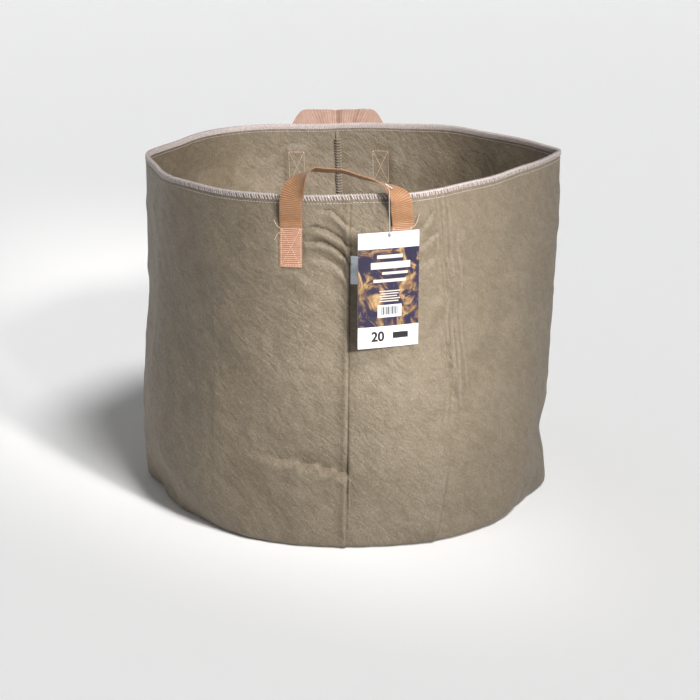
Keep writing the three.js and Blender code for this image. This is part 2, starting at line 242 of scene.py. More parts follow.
def lift(run, z):
    # relief at each spot of the wall; runs and heights are worked in millimetres
    run, z = np.broadcast_arrays(np.asarray(run, float), np.asarray(z, float))
    run = np.mod(run + girth / 2, girth) - girth / 2
    total = feltNoise(run, z)
    # the seams and threads hold the felt calmer near the mouth
    total *= 1 - 0.75 * ease(z, 0.34, 0.395)
    r, h = run / mm, z / mm
    for row, depth, width in relief["pleats"]:
        off = h - follow(row, r)
        ends = ease(r, row[0][0] - 10, row[0][0] + 12) * (1 - ease(r, row[-1][0] - 3, row[-1][0] + 8))
        crest = 0.9 * hill(off + 1.9 * width, 1.9 * width)
        total += 1.2 * ends * depth * mm * (crest - hill(off, 0.62 * width))
    # the crease: a low ridge with a shallow valley beside it
    off = r - follow(relief["creaseLine"], h)
    ends = ease(h, 20, 60) * (1 - ease(h, 260, 320))
    total += mm * (0.7 * hill(off, 2.4) - 0.3 * hill(off + 7, 5)) * ends
    for k, (shift, size) in enumerate(relief["wrinkles"]):
        line = follow(relief["wrinkleLine"], h) + shift
        line = line + 1.5 * np.sin(h / 24 + 1.7 * k) + 0.4 * np.sin(h / 9 + 2.9 * k)
        height = size * (1 + 0.35 * np.sin(h / 17 + 2 * k))
        height *= ease(h, 115 + 9 * k, 170) * (1 - 0.6 * ease(h, 330, 392))
        total += mm * height * (hill(r - line, 1.7) - 0.45 * hill(r - line + 3.6, 2.2))
    total += 2.2 * mm * hill(r - 132, 26) * ease(h, 90, 200) * (1 - ease(h, 300, 390))
    # the facet leans out, and right of its sharp edge the felt leans in
    right, left = follow(relief["facetRight"], h), follow(relief["facetLeft"], h)
    grow = np.clip((98 - h) / 84, 0, 1) * ease(h, -6, 26)
    past = ease(r, right - 0.5, right + 5)
    facet = np.clip((r - left + 12) / (right - left + 12), 0, 1) * (1 - past)
    beside = past * np.exp(-np.maximum(r - right, 0) / 26)
    total += mm * grow * (relief["facetOut"] * facet - relief["besideFacetIn"] * beside)
    # the step: sunk above it, bulging below it
    rise = h - follow(relief["stepLine"], r)
    across = ease(r, -150, -40) * (1 - ease(r, -2, 3))
    above = ease(rise, -3, 3)
    bulge = (1 - above) * relief["bulgeBelow"] * np.exp(np.minimum(rise, 0) / 38)
    dent = above * relief["dentAbove"] * np.exp(-np.maximum(rise, 0) / 36)
    total += across * mm * (bulge - dent)
    rightSide = ease(r, 270, 345) * (1 - ease(r, 470, 560))
    leftSide = ease(-r, 280, 350) * (1 - ease(-r, 480, 570))
    for side, hollows in ((rightSide, "rightHollows"), (leftSide, "leftHollows")):
        for depth, level, size in relief[hollows]:
            total -= side * mm * depth * hill(h - level, size)
    # under-turned bottom edge
    soft = relief["tuckSoftness"]
    under = (follow(relief["tuckLine"], r) - h) / soft
    total -= relief["tuckSlope"] * mm * soft * np.log1p(np.exp(np.clip(under, -30, 30)))
    # the seams: the left panel stands proud of the right one
    ridge = np.where(r < 0, 1.7 * hill(r + 2, 8) + 0.9 * hill(r + 3.6, 2.4), -0.9 * hill(r, 9))
    total += mm * ridge * (1 - 0.5 * ease(h, 340, 395))
    total += 1.0 * mm * hill(abs(r) - girth / 2 / mm, 8)
    # flat and calm under the sewn strap ends
    middle = handles["stitchLine"] - handles["endLength"] / 2
    for strapRun in handles["feet"].values():
        calm = 1 - ease(abs(run - strapRun), 10 * mm, 17 * mm)
        calm = calm * (1 - ease(abs(z - middle), 22 * mm, 32 * mm))
        total = total * (1 - 0.8 * calm) - 0.7 * mm * calm
    return total


def mouthWave(run):
    # the mouth's edge runs a little up and down
    turn = run / girth * 2 * np.pi
    return 0.9 * mm * np.sin(turn * 5 + 0.7) + 0.5 * mm * np.sin(turn * 13)


def feltPoints(run, z, out):
    # a place on the real, creased felt
    run, z, out = np.broadcast_arrays(*[np.asarray(value, float) for value in (run, z, out)])
    raised = z + mouthWave(run) * ease(z, 0.25, 0.40)
    return wallPoints(run, raised, out + lift(run, np.clip(z, 0, bag["height"])))


def meshPiece(name, spots, faces, uv=None, closedNormals=False):
    mesh = bpy.data.meshes.new(name)
    mesh.from_pydata(np.asarray(spots).reshape(-1, 3).tolist(), [], faces)
    if uv is not None:
        layer = mesh.uv_layers.new(name="weave")
        corners = np.array([loop.vertex_index for loop in mesh.loops])
        layer.data.foreach_set("uv", np.asarray(uv)[corners].ravel())
    mesh.update()
    piece = bpy.data.objects.new(name, mesh)
    bpy.context.scene.collection.objects.link(piece)
    if closedNormals:
        makeActive(piece)
        bpy.ops.object.mode_set(mode='EDIT')
        bpy.ops.mesh.select_all(action='SELECT')
        bpy.ops.mesh.normals_make_consistent(inside=False)
        bpy.ops.object.mode_set(mode='OBJECT')
    return piece


def gridFaces(columns, rows, wrapColumns=False):
    faces = []
    for i in range(columns if wrapColumns else columns - 1):
        following = (i + 1) % columns
        for j in range(rows - 1):
            faces.append((i * rows + j, i * rows + j + 1, following * rows + j + 1, following * rows + j))
    return faces


def thicken(piece, thickness, offset=-1):
    solid = piece.modifiers.new("thickness", 'SOLIDIFY')
    solid.thickness = thickness
    solid.offset = offset
    solid.use_even_offset = False
    applyModifiers(piece)


# materials
def hexColor(code):
    channels = [int(code[i:i + 2], 16) / 255 for i in (1, 3, 5)]
    linear = [c / 12.92 if c <= 0.04045 else ((c + 0.055) / 1.055) ** 2.4 for c in channels]
    return (*linear, 1.0)


def addNode(material, kind, settings=(), links=()):
    # settings are (name or socket, value); links are (socket, node, its output)
    tree = material.node_tree
    node = tree.nodes.new(kind)
    for key, value in settings:
        if hasattr(node, str(key)):
            setattr(node, key, value)
        else:
            node.inputs[key].default_value = value
    for socket, source, output in links:
        tree.links.new(source.outputs[output], node.inputs[socket])
    return node


def startMaterial(name, roughness, sockets=()):
    material = bpy.data.materials.new(name)
    material.use_nodes = True
    shader = material.node_tree.nodes["Principled BSDF"]
    shader.inputs["Roughness"].default_value = roughness
    for socket, value in sockets:
        shader.inputs[socket].default_value = value
    return material, shader


def joinTo(material, shader, socket, node, output):
    material.node_tree.links.new(node.outputs[output], shader.inputs[socket])


def ramp(material, source, output, stops):
    node = addNode(material, "ShaderNodeValToRGB", links=[("Fac", source, output)])
    elements = node.color_ramp.elements
    while len(elements) < len(stops):
        elements.new(0.5)
    for element, (place, code) in zip(elements, stops):
        element.position = place
        element.color = hexColor(code)
    return node


def noiseNode(material, place, size, detail=2.0, output="Object", more=()):
    # a noise pattern of that size, laid out by the place node
    settings = [("Scale", 1 / size), ("Detail", detail), *more]
    return addNode(material, "ShaderNodeTexNoise", settings, [("Vector", place, output)])


def ribNode(material, split, axis, pitch):
    # evenly spaced ribs across one axis
    phase = addNode(material, "ShaderNodeMath", [("operation", 'MULTIPLY'), (1, 2 * math.pi / pitch)],
                    [(0, split, axis)])
    return addNode(material, "ShaderNodeMath", [("operation", 'SINE')], [(0, phase, 0)])


def mixNode(material, how, share, first, second, firstOutput="Color"):
    return addNode(material, "ShaderNodeMixRGB", [("blend_type", how), ("Fac", share)],
                   [("Color1", first, firstOutput), ("Color2", second, "Color")])


def bumpNode(material, strength, depth, height, output, under=None):
    links = [("Height", height, output)]
    if under:
        links.append(("Normal", under, "Normal"))
    return addNode(material, "ShaderNodeBump", [("Strength", strength), ("Distance", depth)], links)


def feltMaterial():
    # needle-punched recycled-fibre felt: matted short fibres, pressed to a faint satin, with soft crinkles
    m, shader = startMaterial("needlePunchedFelt", 0.58, [("Specular IOR Level", 0.55)])
    place = addNode(m, "ShaderNodeTexCoord")
    slanted = addNode(m, "ShaderNodeMapping", [
        ("vector_type", 'TEXTURE'), ("Rotation", (0, math.radians(42), 0)), ("Scale", (1.0, 1.0, 0.42))],
        [("Vector", place, "Object")])
    fibres = noiseNode(m, place, 2.2 * mm, 4.0, more=[("Roughness", 0.75)])
    crinkle = noiseNode(m, slanted, 15 * mm, 4.0, "Vector", [("Roughness", 0.6), ("Distortion", 0.6)])
    blotch = noiseNode(m, place, 55 * mm, 3.0)
    tone = ramp(m, blotch, "Fac", [(0.32, "#6E6453"), (0.68, "#7A6F5E")])
    fleck = ramp(m, fibres, "Fac", [(0.30, "#5A5142"), (0.52, "#766B5A"), (0.74, "#A0937F")])
    mixed = mixNode(m, 'MIX', 0.5, tone, fleck)
    # painted shade: the felt is darkened in the valleys of the crinkle noise that also drives the coarse
    # bump
    crinkleShade = ramp(m, crinkle, "Fac", [(0.36, "#D8D2C6"), (0.60, "#FFFFFF")])
    shade = mixNode(m, 'MULTIPLY', 0.55, mixed, crinkleShade)
    joinTo(m, shader, "Base Color", shade, "Color")
    coarse = bumpNode(m, 0.7, 2.0 * mm, crinkle, "Fac")
    bent = mixNode(m, 'ADD', 0.006, place, fibres, "Object")
    cells = addNode(m, "ShaderNodeTexVoronoi", [("feature", 'DISTANCE_TO_EDGE'), ("Scale", 1 / (8 * mm))],
                    [("Vector", bent, "Color")])
    crackle = addNode(m, "ShaderNodeMapRange", [("From Max", 0.16)], [("Value", cells, "Distance")])
    middle = bumpNode(m, 0.35, 0.5 * mm, crackle, "Result", coarse)
    fine = bumpNode(m, 0.7, 0.6 * mm, fibres, "Fac", middle)
    joinTo(m, shader, "Normal", fine, "Normal")
    return m


def webbingMaterial(name, tones, ribHeight):
    # woven polypropylene webbing: cross ribs 2.2 mm apart, a slight shine on each rib
    m, shader = startMaterial(name, 0.6, [("Specular IOR Level", 0.35), ("Sheen Weight", 0.1)])
    place = addNode(m, "ShaderNodeUVMap", [("uv_map", "weave")])
    split = addNode(m, "ShaderNodeSeparateXYZ", links=[("Vector", place, "UV")])
    ribs = ribNode(m, split, "Y", 2.2 * mm)
    warp = ribNode(m, split, "X", 1.25 * mm)
    weave = addNode(m, "ShaderNodeMath", [("operation", 'MULTIPLY_ADD'), (1, 0.35)],
                    [(0, warp, 0), (2, ribs, 0)])
    fuzz = noiseNode(m, place, 6 * mm, 4.0, "UV")
    level = addNode(m, "ShaderNodeMapRange", [("From Min", -1.3), ("From Max", 1.3)], [("Value", weave, 0)])
    tone = ramp(m, level, "Result", list(zip((0.0, 0.5, 1.0), tones)))
    dirt = ramp(m, fuzz, "Fac", [(0.3, "#E9DCD2"), (0.7, "#FFFFFF")])
    mixed = mixNode(m, 'MULTIPLY', 0.8, tone, dirt)
    joinTo(m, shader, "Base Color", mixed, "Color")
    joinTo(m, shader, "Normal", bumpNode(m, 0.7, ribHeight, weave, 0), "Normal")
    return m


def threadMaterial(name, light, dark):
    # spun polyester thread: soft, slightly fuzzy, faintly uneven
    m, shader = startMaterial(name, 0.7, [("Sheen Weight", 0.2), ("Specular IOR Level", 0.3)])
    place = addNode(m, "ShaderNodeTexCoord")
    twist = noiseNode(m, place, 1.1 * mm)
    tone = ramp(m, twist, "Fac", [(0.3, dark), (0.7, light)])
    joinTo(m, shader, "Base Color", tone, "Color")
    joinTo(m, shader, "Normal", bumpNode(m, 0.5, 0.2 * mm, twist, "Fac"), "Normal")
    return m


def cardMaterial():
    # coated card stock: clean white, faint satin gloss
    m, shader = startMaterial("coatedCard", 0.38, [
        ("Base Color", hexColor("#C9CBCE")), ("Specular IOR Level", 0.5)])
    place = addNode(m, "ShaderNodeTexCoord")
    grain = noiseNode(m, place, 0.9 * mm)
    joinTo(m, shader, "Normal", bumpNode(m, 0.1, 0.05 * mm, grain, "Fac"), "Normal")
    return m


def printMaterial():
    # offset print on the card: dark indigo ground with soft sandy marbling
    m, shader = startMaterial("marbledPrint", 0.36, [("Specular IOR Level", 0.5)])
    place = addNode(m, "ShaderNodeTexCoord")
    swirl = noiseNode(m, place, 26 * mm, 5.0, more=[("Roughness", 0.62), ("Distortion", 1.6)])
    tone = ramp(m, swirl, "Fac", [
        (0.43, "#191430"), (0.52, "#272039"), (0.575, "#6F5436"), (0.66, "#A58962")])
    joinTo(m, shader, "Base Color", tone, "Color")
    return m


def inkMaterial(name, code):
    # printed ink: a thin film, a little uneven in its gloss
    m, shader = startMaterial(name, 0.42, [("Base Color", hexColor(code))])
    place = addNode(m, "ShaderNodeTexCoord")
    grain = noiseNode(m, place, 0.8 * mm)
    rough = addNode(m, "ShaderNodeMapRange", [("To Min", 0.36), ("To Max", 0.5)], [("Value", grain, "Fac")])
    joinTo(m, shader, "Roughness", rough, "Result")
    return m


def tapeMaterial():
    # woven satin label tape: bluish white, fine sideways ribs
    m, shader = startMaterial("satinTape", 0.5, [("Sheen Weight", 0.15)])
    place = addNode(m, "ShaderNodeTexCoord")
    split = addNode(m, "ShaderNodeSeparateXYZ", links=[("Vector", place, "Object")])
    ribs = ribNode(m, split, "Z", 1.0 * mm)
    cloud = noiseNode(m, place, 7 * mm)
    tone = ramp(m, cloud, "Fac", [(0.3, "#CBD8E4"), (0.7, "#E3EBF2")])
    joinTo(m, shader, "Base Color", tone, "Color")
    joinTo(m, shader, "Normal", bumpNode(m, 0.3, 0.12 * mm, ribs, 0), "Normal")
    return m


def nylonMaterial():
    # moulded natural nylon: milky, smooth, with a moulding gloss
    m, shader = startMaterial("naturalNylon", 0.28, [
        ("Base Color", hexColor("#DDDEE2")), ("IOR", 1.53), ("Transmission Weight", 0.6)])
    place = addNode(m, "ShaderNodeTexCoord")
    flow = noiseNode(m, place, 2 * mm)
    joinTo(m, shader, "Normal", bumpNode(m, 0.15, 0.1 * mm, flow, "Fac"), "Normal")
    return m


def floorMaterial():
    # painted studio floor: near white, matt
    return startMaterial("paleFloor", 0.85, [
        ("Base Color", hexColor("#FAFAFA")), ("Specular IOR Level", 0.1)])[0]


felt = feltMaterial()
webbing = webbingMaterial("wovenWebbing", ("#97705A", "#B88D75", "#CBA48E"), 0.4 * mm)
# painted shade: the front loop gets a darker, more golden copy of the webbing colours, standing in for the
# shading on its curled legs
shadedLoopWebbing = webbingMaterial("frontLoopShadedWebbing", ("#7D5C42", "#967050", "#AC8562"), 0.16 * mm)
# painted shade: the back loop gets a darker copy of the webbing colours, standing in for the shade it sits
# in
shadedBackWebbing = webbingMaterial("shadedBackWebbing", ("#96796A", "#A3887A", "#AE9387"), 0.07 * mm)
overlockThread = threadMaterial("overlockThread", "#C6BCB8", "#8F8583")
seamThread = threadMaterial("seamThread", "#978D7E", "#766C5E")
tanThread = threadMaterial("tanThread", "#DCC3B0", "#B99478")
card = cardMaterial()
marbling = printMaterial()
blackInk = inkMaterial("blackInk", "#0F0E12")
creamInk = inkMaterial("creamInk", "#BDB5AC")
tape = tapeMaterial()
nylon = nylonMaterial()
print("materials made")


def finishPiece(piece, material, body, nodes=()):
    # body is None for a piece that is blended across a joint instead of riding one body
    if not piece.data.materials:
        piece.data.materials.append(material)
    if body:
        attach(piece, body)
    if nodes:
        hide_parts(*nodes)
    return piece


# felt wall, one sheet for each half
def wallRows():
    roll = bag["bottomRoll"]
    # closer rows where the pleats are
    heights = np.r_[np.linspace(bag["height"], 0.388, 5)[:-1], np.linspace(0.388, 0.300, 45)[:-1],
                    np.linspace(0.300, roll, 78)]
    rows = [(z, 0.0) for z in heights]
    for angle in np.linspace(0, math.pi / 2, 6)[1:]:
        rows.append((roll * (1 - math.sin(angle)), -roll * (1 - math.cos(angle))))
    turn = bag["edgeTurn"]
    edge = -roll - bag["flatUnder"]
    for angle in np.linspace(0, math.pi / 2, 5):
        rows.append((turn * (1 - math.cos(angle)), edge - turn * math.sin(angle)))
    rows += [(6 * mm, edge - turn), (11 * mm, edge - turn)]
    return np.array(rows)


def wallColumns():
    # from the tip of one seam allowance, round the half wall, to the tip of the other
    bend = bag["seamBend"]
    half = girth / 2
    shy = -0.9 * mm      # the two halves press into each other along the seam
    tips = [(shy, -bend - deep) for deep in np.linspace(bag["allowanceShown"], 0, 5)[:-1]]
    arcs = [(shy + bend * (1 - math.cos(a)), -bend + bend * math.sin(a))
            for a in np.linspace(0, math.pi / 2, 6)]
    first = tips + arcs
    # closer columns where the pleats and the fine wrinkles are
    runs = [first[-1][0]]
    while runs[-1] < half - first[-1][0]:
        wrinkled = 96 * mm < runs[-1] < 160 * mm
        pleated = runs[-1] < 50 * mm
        runs.append(runs[-1] + bag["wrinkleCell" if wrinkled else "pleatCell" if pleated else "cell"])
    runs = np.array(runs) * (half - 2 * first[-1][0]) / (runs[-1] - runs[0])
    runs += first[-1][0] - runs[0]
    middle = [(run, 0.0) for run in runs[1:-1]]
    last = [(half - run, out) for run, out in reversed(first)]
    return np.array(first + middle + last)


def wallSheet(name, side):
    columns = wallColumns()
    rows = wallRows()
    if side < 0:
        columns = columns[::-1] * (-1, 1)
    # under the bottom the sheet's edge is flat, so its turned-in columns are spread out there
    turned = columns[:, 1] < -0.01 * mm
    flatRun = columns[:, 0].copy()
    half = len(columns) // 2
    for part, seam in ((slice(0, half), 0.0), (slice(half, None), side * girth / 2)):
        if side < 0:
            seam = -girth / 2 - seam
        indices = np.arange(len(columns))[part][turned[part]]
        inner = indices[-1] + 1 if part.start == 0 else indices[0] - 1
        ends = (seam, flatRun[inner]) if part.start == 0 else (flatRun[inner], seam)
        spread = np.linspace(*ends, len(indices) + 1)
        flatRun[indices] = spread[:-1] if part.start == 0 else spread[1:]
    underRows = 12      # the rows that turn in below the wall's foot
    upright = np.arange(len(rows)) < len(rows) - underRows
    rowKeep = (ease(rows[:, 0], 10 * mm, 24 * mm) * upright)[None, :]
    run = columns[:, 0:1] * rowKeep + flatRun[:, None] * (1 - rowKeep)
    inward = np.repeat(columns[:, 1:2], len(rows), axis=1)
    z = np.repeat(rows[None, :, 0], len(columns), axis=0)
    out = np.repeat(rows[None, :, 1], len(columns), axis=0)
    # the allowances fade out where the bottom turns in and under the overlocked edge
    beyond = np.minimum(inward + bag["seamBend"], 0)
    inward -= beyond * 0.9 * ease(z, bag["height"] - 16 * mm, bag["height"] - 8 * mm)
    inward *= rowKeep
    spots = feltPoints(run, z, out + inward)
    spots[..., 2] = np.maximum(spots[..., 2], 0.05 * mm)
    uv = np.stack([run, z], axis=-1).reshape(-1, 2)
    piece = meshPiece(name, spots, gridFaces(len(columns), len(rows)), uv)
    thicken(piece, bag["felt"])
    smooth(piece, 50)
    return piece


# flat size of one wall: half the girth with its seam allowances, and the height with what is turned under
for name, side, node in (("feltWallRight", 1, "wall_panel_right"), ("feltWallLeft", -1, "wall_panel_left")):
    wall = wallSheet(name, side)
    finishPiece(wall, felt, "bag", [node])
print("felt walls made")


# felt base
baseCut = {"across": 0.49, "columns": 240, "rings": 28, "wave": 0.8 * mm}


def baseSheet():
    columns = baseCut["columns"]
    run = np.linspace(-girth / 2, girth / 2, columns, endpoint=False)
    turn = bag["edgeTurn"]
    edge = -bag["bottomRoll"] - bag["flatUnder"] - turn - 0.3 * mm
    rows = [(11 * mm, edge), (6 * mm, edge)]
    for angle in np.linspace(0, math.pi / 2, 5):
        rows.append((turn * (1 - math.sin(angle)), edge - turn * (1 - math.cos(angle))))
    spots = [feltPoints(run, z, out) for z, out in rows]
    ring = spots[-1]
    for share in np.linspace(1, 0, baseCut["rings"])[1:-1]:
        inner = ring * (share, share, 0)
        inner[:, 2] = ring[:, 2]
        spots.append(inner)
    spots = np.stack(spots, axis=1)
    wave = baseCut["wave"] * (1 + np.sin(spots[..., 0] * 31 + 1) * np.cos(spots[..., 1] * 27))
    flat = ease(-np.linalg.norm(spots[..., :2], axis=-1), -0.225, -0.19)
    spots[..., 2] = np.maximum(spots[..., 2], 0.05 * mm) + wave * flat
    rowCount = spots.shape[1]
    faces = gridFaces(columns, rowCount, wrapColumns=True)
    centre = columns * rowCount
    allSpots = np.vstack([spots.reshape(-1, 3), [[0, 0, 0.9 * mm]]])
    for i in range(columns):
        last = i * rowCount + rowCount - 1
        following = ((i + 1) % columns) * rowCount + rowCount - 1
        faces.append((last, centre, following))
    piece = meshPiece("feltBase", allSpots, faces)
    thicken(piece, bag["felt"])
    smooth(piece, 50)
    return piece


base = finishPiece(baseSheet(), felt, "bag", ["base_panel"])
print("felt base made")


# threads
def sweptFaces(count, sides):
    # faces of a closed tube with that many rings
    faces = []
    for i in range(count - 1):
        for k in range(sides):
            n = (k + 1) % sides
            faces.append((i * sides + k, i * sides + n, (i + 1) * sides + n, (i + 1) * sides + k))
    faces.append(tuple(reversed(range(sides))))
    faces.append(tuple(range((count - 1) * sides, count * sides)))
    return faces


def tube(path, halfWide, halfThick, sides=6, up=(0, 0, 1)):
    # vertices and faces of a closed tube of oval section along a path
    path = np.array(path, float)
    along = np.gradient(path, axis=0)
    along /= np.linalg.norm(along, axis=1, keepdims=True)
    wide = np.cross(along, np.array(up, float))
    wide /= np.maximum(np.linalg.norm(wide, axis=1, keepdims=True), 1e-9)
    thick = np.cross(wide, along)
    spots = []
    for spot, w, t in zip(path, wide, thick):
        for k in range(sides):
            a = 2 * math.pi * k / sides
            spots.append(spot + w * halfWide * math.cos(a) + t * halfThick * math.sin(a))
    return np.array(spots), sweptFaces(len(path), sides)


def sow(name, unit, places, laid):
    # copies one modelled unit to many places; laid(place, unit's vertices) gives its spots
    shape, faces = unit
    allSpots, allFaces = [], []
    for n, place in enumerate(places):
        allSpots.append(laid(place, shape))
        allFaces += [tuple(v + n * len(shape) for v in face) for face in faces]
    piece = meshPiece(name, np.vstack(allSpots), allFaces, closedNormals=True)
    smooth(piece, 60)
    return piece


def stitchUnit(length, wide, high):
    # one stitch: a sphere pulled long, read back as plain vertices and faces
    deselectAll()
    bpy.ops.mesh.primitive_uv_sphere_add(segments=8, ring_count=5, radius=0.5, rotation=(0, math.pi / 2, 0))
    bead = bpy.context.object
    bead.scale = (high, wide, length)
    bpy.ops.object.transform_apply(location=True, rotation=True, scale=True)
    shape = np.array([v.co[:] for v in bead.data.vertices])
    faces = [tuple(p.vertices) for p in bead.data.polygons]
    bpy.ops.object.delete()
    return shape, faces


def overlockUnit():
    # one loop over the felt's edge: x along the edge, y outwards, z up from the edge
    slant = 1.5 * mm
    path = [(1, -0.1, -4.9), (0.7, 0.55, -4.2), (0.2, 0.6, -2.4), (-0.4, 0.55, -0.6), (-0.7, 0.1, 0.5),
            (-0.7, -1.5, 0.9), (-0.6, -3.2, 0.4), (-0.2, -3.6, -1.2), (0.5, -3.6, -3.4), (1, -3.3, -5.6)]
    path = [(x * slant, y * mm, z * mm) for x, y, z in path]
    return tube(path, 0.85 * mm, 0.5 * mm, up=(0, 1, 0.0001))


overlock = {
    "pitch": 3.2 * mm, "needleDrop": 8.6 * mm, "stitch": (2.8 * mm, 0.8 * mm, 0.7 * mm),
    "stitchPitch": 3.6 * mm, "bedCell": 4 * mm, "bedThick": 0.15 * mm,
    # the loops over the inside edges
    "edgePitch": 3.6 * mm, "baseLoops": 400, "lowest": 26 * mm, "belowMouth": 20 * mm,
}


def laidOnRim(place, shape):
    run, tilt = place
    return feltPoints(run + shape[:, 0] * tilt, bag["height"] + shape[:, 2], shape[:, 1])


def rimThreads():
    count = int(girth / overlock["pitch"])
    runs = np.linspace(-girth / 2, girth / 2, count, endpoint=False)
    # no two loops are sewn quite alike
    uneven = 1 + 0.25 * np.sin(runs * 731.0)
    shifted = runs + 0.35 * mm * np.sin(runs * 1291.0)
    loops = sow("rimOverlock", overlockUnit(), list(zip(shifted, uneven)), laidOnRim)
    finishPiece(loops, overlockThread, "bag", ["rim_overlock"])
    stitch = stitchUnit(*overlock["stitch"])
    count = int(girth / overlock["stitchPitch"])
    runs = np.linspace(-girth / 2, girth / 2, count, endpoint=False)
    height = bag["height"] - overlock["needleDrop"]

    for name, out, nodes in (("rimNeedleLine", 0.25 * mm, ["rim_needle_line"]),
                             ("rimNeedleLineInside", -bag["felt"] - 0.25 * mm, [])):
        def laid(run, shape):
            return feltPoints(run + shape[:, 0], height + shape[:, 1], out + shape[:, 2])

        finishPiece(sow(name, stitch, runs, laid), overlockThread, "bag", nodes)
    # the fuzzy bed that the loops leave on the felt, outside and inside
    section = [(0.1, -1.0), (0.3, -0.4), (0.1, 0.25), (-1.5, 0.6), (-3.1, 0.25),
               (-3.35, -0.4), (-3.3, -5.0), (-3.1, -5.6)]
    columns = int(girth / overlock["bedCell"])
    runs = np.linspace(-girth / 2, girth / 2, columns, endpoint=False)
    lines = [feltPoints(runs, bag["height"] + z * mm, out * mm) for out, z in reversed(section)]
    spots = np.stack(lines, axis=1)
    bed = meshPiece("rimThreadBed", spots, gridFaces(columns, len(section), wrapColumns=True))
    thicken(bed, overlock["bedThick"], offset=0)
    smooth(bed, 60)
    finishPiece(bed, overlockThread, "bag")


rimThreads()
print("mouth threads made")


def edgeOverlock(name, node, frameAt, count):
    # loops over a pair of felt edges inside the bag; frameAt(share) gives each loop's spot, its
    # direction along the edge, across it and away from it
    over = [(0.9, -3.6, -4.5), (0.4, -3.9, -1.5), (-0.4, -2.6, 0.8), (-0.6, 0, 1.3), (-0.4, 2.6, 0.8),
            (0.4, 3.9, -1.5), (0.9, 3.6, -4.5)]
    unit = tube([(x * mm, y * mm, z * mm) for x, y, z in over], 0.8 * mm, 0.5 * mm, up=(1, 0, 0.0001))

    def laid(share, shape):
        spot, along, aside, away = frameAt(share)
        return spot + shape[:, 0:1] * along + shape[:, 1:2] * aside + shape[:, 2:3] * away

    piece = sow(name, unit, np.linspace(0, 1, count), laid)
    finishPiece(piece, seamThread, "bag", [node])


def seamThreads(name, node, run):
    low, high = overlock["lowest"], bag["height"] - overlock["belowMouth"]
    depth = -bag["seamBend"] - bag["allowanceShown"]

    def frameAt(share):
        z = low + (high - low) * share
        edge = feltPoints(run, z, depth)
        beyond = feltPoints(run, z, depth - 1 * mm)
        upper = feltPoints(run, z + 1 * mm, depth)
        along = (upper - edge) / np.linalg.norm(upper - edge)
        away = (beyond - edge) / np.linalg.norm(beyond - edge)
        return edge, along, np.cross(away, along), away

    edgeOverlock(name, node, frameAt, int((high - low) / overlock["edgePitch"]))


seamThreads("frontSeamOverlock", "front_seam_overlock", 0.0)
seamThreads("backSeamOverlock", "back_seam_overlock", girth / 2)


def baseThreads():
    edge = -bag["bottomRoll"] - 4.6 * mm

    def frameAt(share):
        run = girth * share
        spot = feltPoints(run, 11 * mm, edge)
        ahead = feltPoints(run + 1 * mm, 11 * mm, edge)
        along = (ahead - spot) / np.linalg.norm(ahead - spot)
        return spot, along, np.array([along[1], -along[0], 0.0]), np.array([0, 0, 1.0])

    edgeOverlock("baseOverlock", "base_overlock", frameAt, overlock["baseLoops"])


baseThreads()
print("inside threads made")


# webbing straps
def strapSection():
    # the strap's section, with rounded edges
    halfWide, halfThick = handles["width"] / 2, handles["thick"] / 2
    ring = []
    for k in range(20):
        a = 2 * math.pi * (k + 0.5) / 20
        c, s = math.cos(a), math.sin(a)
        ring.append((halfWide * math.copysign(abs(c) ** 0.45, c),
                     halfThick * math.copysign(abs(s) ** 0.4, s)))
    return np.array(ring)


def strapMesh(name, spots, lengths):
    # spots are rings of the section along the strap
    count, sides = spots.shape[:2]
    section = strapSection()
    uv = np.stack([np.tile(section[:, 0], count), np.repeat(lengths, sides)], axis=1)
    piece = meshPiece(name, spots, sweptFaces(count, sides), uv, closedNormals=True)
    smooth(piece, 50)
    return piece


def strapEndPiece(name, run):
    section = strapSection()
    bottom = handles["stitchLine"] - handles["endLength"]
    heights = np.linspace(bottom, handles["stitchLine"] - 0.2 * mm, 40)
    edgeWave = 0.25 * mm * np.sin(heights * 900)
    wider = 1 + edgeWave / handles["width"]
    spots = np.stack([feltPoints(run + section[:, 0] * share, z, handles["endOut"] + section[:, 1])
                      for z, share in zip(heights, wider)])
    return strapMesh(name, spots, heights)


boxStitch = {"inset": 2 * mm, "pitch": 2.9 * mm, "size": (2.4 * mm, 0.75 * mm, 0.7 * mm), "out": 2.35 * mm}


def sewBox(name, nodes, run):
    # the stitched box with its cross, outside on the webbing and inside on the felt
    halfWide = handles["width"] / 2 - boxStitch["inset"]
    halfHigh = handles["endLength"] / 2 - boxStitch["inset"]
    middle = handles["stitchLine"] - handles["endLength"] / 2
    corners = [(-halfWide, halfHigh), (halfWide, halfHigh), (halfWide, -halfHigh), (-halfWide, -halfHigh)]
    rows = [(corners[k], corners[(k + 1) % 4]) for k in range(4)]
    rows += [(corners[0], corners[2]), (corners[1], corners[3])]
    places = []
    for (xa, za), (xb, zb) in rows:
        length = math.hypot(xb - xa, zb - za)
        count = max(2, int(length / boxStitch["pitch"]))
        angle = math.atan2(zb - za, xb - xa)
        for k in range(count):
            share = (k + 0.5) / count
            places.append((xa + (xb - xa) * share, za + (zb - za) * share, angle))
    unit = stitchUnit(*boxStitch["size"])
    for suffix, out in (("", boxStitch["out"]), ("Inside", -bag["felt"] - 0.15 * mm)):
        def laid(place, shape):
            x, z, angle = place
            across = shape[:, 0] * math.cos(angle) - shape[:, 1] * math.sin(angle)
            upward = shape[:, 0] * math.sin(angle) + shape[:, 1] * math.cos(angle)
            return feltPoints(run + x + across, middle + z + upward, out + shape[:, 2])

        piece = sow(name + suffix, unit, places, laid)
        finishPiece(piece, tanThread, "bag", [] if suffix else nodes)


for nodeName, run in handles["feet"].items():
    plain = "".join(word.capitalize() for word in nodeName.split("_"))
    end = strapEndPiece("strapEnd" + plain, run)
    finishPiece(end, webbing, "bag", [nodeName + "_end"])
    sewBox("boxStitches" + plain, [nodeName + "_stitching"], run)
print("strap ends made")


